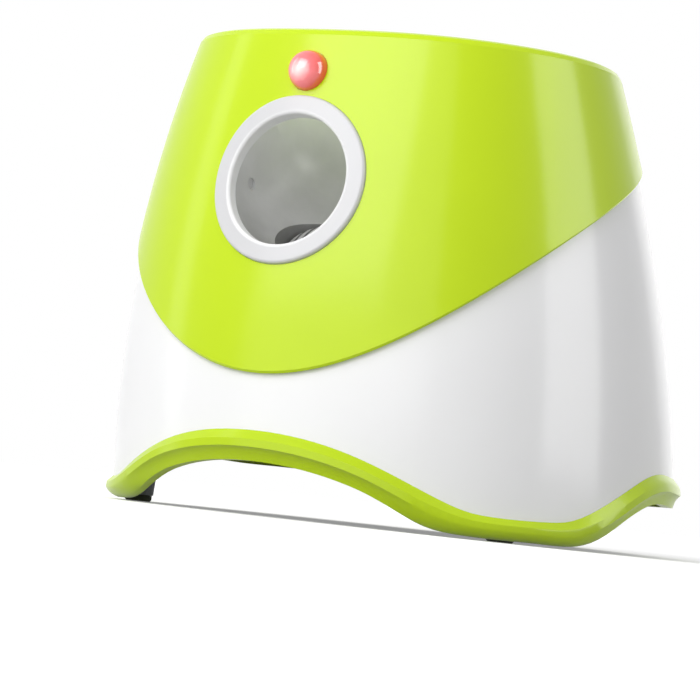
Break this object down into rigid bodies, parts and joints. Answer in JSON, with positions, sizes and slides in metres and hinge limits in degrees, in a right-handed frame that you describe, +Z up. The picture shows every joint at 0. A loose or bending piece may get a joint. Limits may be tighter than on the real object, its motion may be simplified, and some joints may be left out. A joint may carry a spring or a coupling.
{
  "type": "automatic dog ball launcher",
  "caption": "Free-standing automatic ball launcher with an open hopper, a forward-facing round exit ring, a motor-wound sprung striker and arched feet.",
  "frame": {"origin": "on the floor under the middle of the whole object's plan", "axes": "+Z up, the exit faces -Y, +X is to the right of someone who looks at the exit"},
  "size_m": [0.2646, 0.2672, 0.215],
  "materials": {
    "green": "satin moulded plastic",
    "green_inner": "satin moulded plastic",
    "white": "satin moulded plastic",
    "ring_white": "glossy moulded plastic",
    "chamber_grey": "satin moulded plastic",
    "lens_red": "tinted, see-through",
    "clear_lens": "clear moulded",
    "board_green": "coated board",
    "acetal_white": "satin moulded plastic",
    "rack_black": "satin moulded plastic",
    "guide_grey": "satin moulded plastic",
    "spring_steel": "plated wire and sheet",
    "gear_white": "natural acetal",
    "pinion_brass": "turned",
    "axle_steel": "ground and plated",
    "motor_can": "drawn can",
    "frame_black": "moulded",
    "floor_grey": "textured moulded plastic",
    "foot_rubber": "soft",
    "speaker_black": "moulded frame and magnet",
    "panel_grey": "satin moulded plastic",
    "button_green": "satin moulded plastic"
  },
  "bodies": {
    "housing": {"ball_sensor_emitter": "frame_black", "ball_sensor_receiver": "frame_black", "base_rim": "green", "battery_contact_leaves": "spring_steel", "battery_contact_plates": "spring_steel", "board_screws": "axle_steel", "body_shell": "white", "button_board": "board_green", "case_screws": "axle_steel", "control_panel": "panel_grey", "exit_ring": "ring_white", "floor_plate": "floor_grey", "gear_axle_a": "axle_steel", "gear_axle_b": "axle_steel", "gearbox_plate_left": "frame_black", "gearbox_plate_right": "frame_black", "gearbox_screws": "axle_steel", "guide_cap": "guide_grey", "hopper_bowl": "green_inner", "indicator_lens_1": "clear_lens", "indicator_lens_2": "clear_lens", "lamp_board": "board_green", "lamp_led": "clear_lens", "lamp_lens": "lens_red", "launch_chamber": "chamber_grey", "main_board": "board_green", "motor": "motor_can", "power_socket": "frame_black", "rubber_foot_front_left": "foot_rubber", "rubber_foot_front_right": "foot_rubber", "rubber_foot_rear": "foot_rubber", "sector_axle": "axle_steel", "speaker": "speaker_black", "striker_guide": "guide_grey", "striker_spring": "spring_steel", "upper_cover": "green"},
    "sector": {"sector_gear": "gear_white"},
    "striker": {"striker_head": "acetal_white", "striker_rack": "rack_black"},
    "gear_a": {"compound_gear_a": "gear_white"},
    "gear_b": {"compound_gear_b": "gear_white"},
    "rotor": {"motor_pinion": "pinion_brass", "motor_shaft": "axle_steel"},
    "button": {"power_button": "button_green"},
    "door": {"battery_door": "floor_grey"}
  },
  "joints": [
    {"name": "sector_turn", "type": "hinge", "parent": "housing", "child": "sector", "pos_m": [0, -0.04672, 0.10726], "axis": [1, 0, 0], "range_deg": [0, 114.6]},
    {"name": "striker_slide", "type": "slide", "parent": "housing", "child": "striker", "axis": [0, 0.7071, -0.7071], "range_m": [0, 0.03], "stiffness_N_per_m": 400, "springref_m": -0.015, "deforming": ["striker_spring"]},
    {"name": "gear_a_turn", "type": "hinge", "parent": "housing", "child": "gear_a", "pos_m": [0, -0.02527, 0.12526], "axis": [1, 0, 0], "range_deg": [-421, 0]},
    {"name": "gear_b_turn", "type": "hinge", "parent": "housing", "child": "gear_b", "pos_m": [0, -0.02909, 0.14693], "axis": [1, 0, 0], "range_deg": [0, 1121]},
    {"name": "motor_turn", "type": "hinge", "parent": "housing", "child": "rotor", "pos_m": [0, -0.01809, 0.16598], "axis": [1, 0, 0], "range_deg": [-2989, 0]},
    {"name": "power_button_press", "type": "slide", "parent": "housing", "child": "button", "axis": [0, -0.9738, -0.2273], "range_m": [0, 0.0012], "stiffness_N_per_m": 600, "springref_m": -0.001},
    {"name": "battery_door_hinge", "type": "hinge", "parent": "housing", "child": "door", "pos_m": [0, 0.09525, 0.04215], "axis": [1, 0, 0], "range_deg": [0, 90]}
  ],
  "couplings": [
    {"joint": "sector_turn", "follows": "striker_slide", "rad_per_m": 66.667},
    {"joint": "gear_a_turn", "follows": "striker_slide", "rad_per_m": -244.44},
    {"joint": "gear_b_turn", "follows": "striker_slide", "rad_per_m": 651.85},
    {"joint": "motor_turn", "follows": "striker_slide", "rad_per_m": -1738.3}
  ]
}
